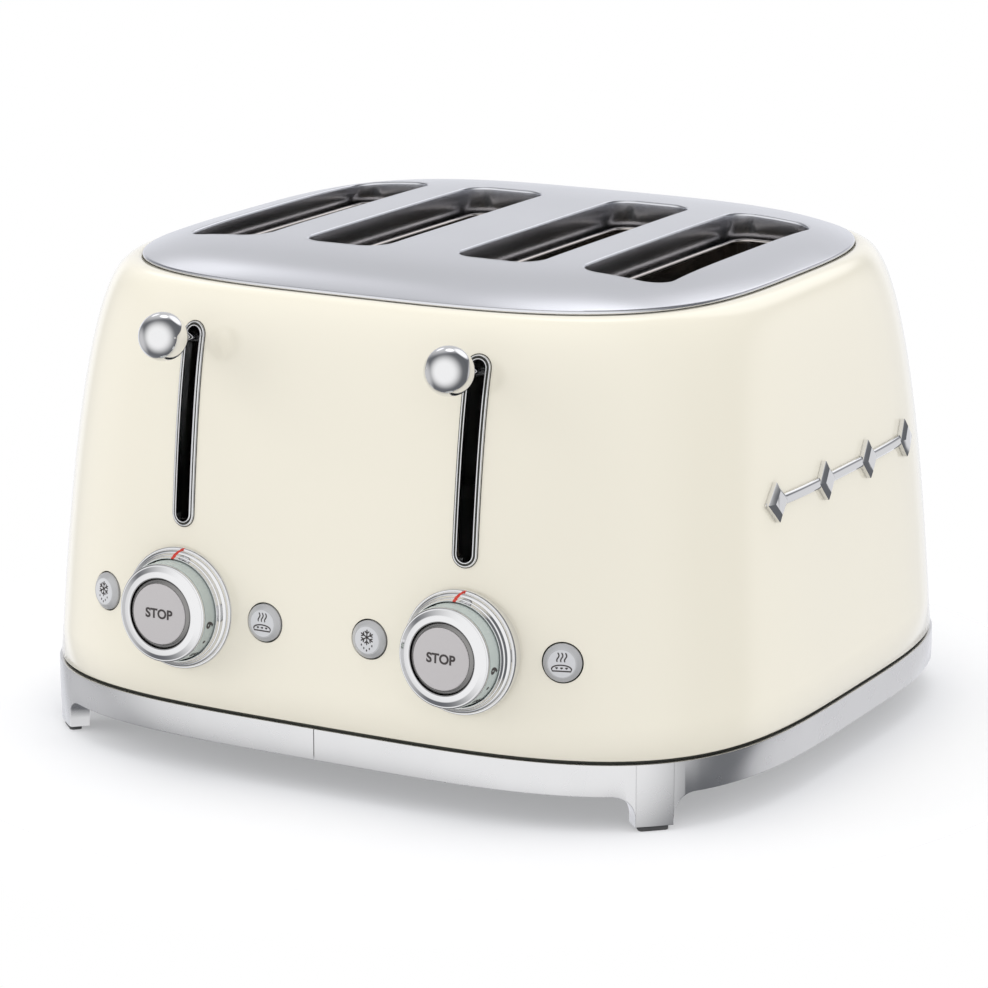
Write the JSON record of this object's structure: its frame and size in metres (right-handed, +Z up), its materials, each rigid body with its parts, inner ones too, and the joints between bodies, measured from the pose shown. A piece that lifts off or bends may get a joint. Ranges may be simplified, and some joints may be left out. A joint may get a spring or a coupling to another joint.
{
  "type": "pop up toaster",
  "caption": "Retro square pop up toaster: glossy enamelled shell, domed steel top with bread slots, levers with ball knobs, stepped dials and push buttons, on a satin ring base.",
  "frame": {"origin": "centre of the footprint box, knobs included, on the surface the feet stand on", "axes": "+Z up, +X to the right as seen from the front, -Y towards the user (levers, dials and buttons), +Y towards the rear (cord gland and crumb trays)"},
  "size_m": [0.3326, 0.3234, 0.2063],
  "materials": {
    "enamel": "gloss",
    "satin_steel": "satin",
    "chrome": "polished",
    "aluminium": "satin",
    "dark_seal": "matte",
    "foot_rubber": "matte",
    "sheet_steel": "mill",
    "liner_steel": "polished",
    "mica": "matte",
    "wire_steel": "polished",
    "circuit_board": "satin",
    "magnet_coil": "satin",
    "ceramic": "satin",
    "number_band": "matte",
    "silver_plastic": "satin",
    "pale_grey": "satin"
  },
  "bodies": {
    "root": {"body_shell": "enamel", "top_plate": "satin_steel", "slot_frame": "liner_steel", "base_gasket": "dark_seal", "bottom_cover": "sheet_steel", "side_trim": "chrome", "cord_gland": "foot_rubber", "front_end_plate": "sheet_steel", "rear_end_plate": "sheet_steel", "terminal_block": "ceramic", "foot_pad_front_left": "foot_rubber", "foot_pad_front_right": "foot_rubber", "foot_pad_rear_right": "foot_rubber", "foot_pad_rear_left": "foot_rubber", "base_ring_left": "aluminium", "heat_shield_left": "sheet_steel", "lever_slot_trim_left": "chrome", "guide_rod_left": "wire_steel", "lift_spring_left": "wire_steel", "dial_bezel_left": "chrome", "control_board_left": "circuit_board", "electromagnet_left": "magnet_coil", "base_ring_right": "aluminium", "heat_shield_right": "sheet_steel", "lever_slot_trim_right": "chrome", "guide_rod_right": "wire_steel", "lift_spring_right": "wire_steel", "dial_bezel_right": "chrome", "control_board_right": "circuit_board", "electromagnet_right": "magnet_coil", "bread_cage_far_left": "wire_steel", "bread_cage_mid_left": "wire_steel", "bread_cage_mid_right": "wire_steel", "bread_cage_far_right": "wire_steel", "heater_board_1": "mica", "heater_board_2": "mica", "heater_board_3": "mica", "heater_board_4": "mica", "heater_board_5": "mica", "heater_board_6": "mica"},
    "lever_left": {"lever_knob_left": "chrome", "carriage_left": "sheet_steel", "bread_rack_far_left": "wire_steel", "bread_rack_mid_left": "wire_steel"},
    "lever_right": {"lever_knob_right": "chrome", "carriage_right": "sheet_steel", "bread_rack_mid_right": "wire_steel", "bread_rack_far_right": "wire_steel"},
    "dial_left": {"dial_band_left": "number_band", "dial_cap_left": "chrome"},
    "stop_left": {"stop_button_left": "pale_grey"},
    "defrost_left": {"defrost_button_left": "silver_plastic"},
    "reheat_left": {"reheat_button_left": "silver_plastic"},
    "crumb_tray_left": {"crumb_tray_left": "aluminium"},
    "dial_right": {"dial_band_right": "number_band", "dial_cap_right": "chrome"},
    "stop_right": {"stop_button_right": "pale_grey"},
    "defrost_right": {"defrost_button_right": "silver_plastic"},
    "reheat_right": {"reheat_button_right": "silver_plastic"},
    "crumb_tray_right": {"crumb_tray_right": "aluminium"}
  },
  "joints": [
    {"name": "lever_slide_left", "type": "slide", "parent": "root", "child": "lever_left", "axis": [0, 0, 1], "range_m": [-0.068, 0], "stiffness_N_per_m": 60, "springref_m": 0.06, "deforming": ["lift_spring_left"]},
    {"name": "dial_turn_left", "type": "hinge", "parent": "root", "child": "dial_left", "pos_m": [-0.0646, -0.14291, 0.0674], "axis": [0, 0.9981, -0.0611], "range_deg": [0, 250]},
    {"name": "stop_press_left", "type": "slide", "parent": "root", "child": "stop_left", "axis": [0, 0.9981, -0.0611], "range_m": [0, 0.002], "stiffness_N_per_m": 600, "springref_m": -0.002},
    {"name": "defrost_press_left", "type": "slide", "parent": "root", "child": "defrost_left", "axis": [0.3099, 0.9475, -0.0792], "range_m": [0, 0.0015], "stiffness_N_per_m": 500, "springref_m": -0.0015},
    {"name": "reheat_press_left", "type": "slide", "parent": "root", "child": "reheat_left", "axis": [0.005, 0.9978, -0.0663], "range_m": [0, 0.0015], "stiffness_N_per_m": 500, "springref_m": -0.0015},
    {"name": "crumb_tray_slide_left", "type": "slide", "parent": "root", "child": "crumb_tray_left", "axis": [0, 1, 0], "range_m": [0, 0.2]},
    {"name": "lever_slide_right", "type": "slide", "parent": "root", "child": "lever_right", "axis": [0, 0, 1], "range_m": [-0.068, 0], "stiffness_N_per_m": 60, "springref_m": 0.06, "deforming": ["lift_spring_right"]},
    {"name": "dial_turn_right", "type": "hinge", "parent": "root", "child": "dial_right", "pos_m": [0.0646, -0.14291, 0.0674], "axis": [0, 0.9981, -0.0611], "range_deg": [0, 250]},
    {"name": "stop_press_right", "type": "slide", "parent": "root", "child": "stop_right", "axis": [0, 0.9981, -0.0611], "range_m": [0, 0.002], "stiffness_N_per_m": 600, "springref_m": -0.002},
    {"name": "defrost_press_right", "type": "slide", "parent": "root", "child": "defrost_right", "axis": [-0.005, 0.9978, -0.0663], "range_m": [0, 0.0015], "stiffness_N_per_m": 500, "springref_m": -0.0015},
    {"name": "reheat_press_right", "type": "slide", "parent": "root", "child": "reheat_right", "axis": [-0.3099, 0.9475, -0.0792], "range_m": [0, 0.0015], "stiffness_N_per_m": 500, "springref_m": -0.0015},
    {"name": "crumb_tray_slide_right", "type": "slide", "parent": "root", "child": "crumb_tray_right", "axis": [0, 1, 0], "range_m": [0, 0.2]}
  ]
}
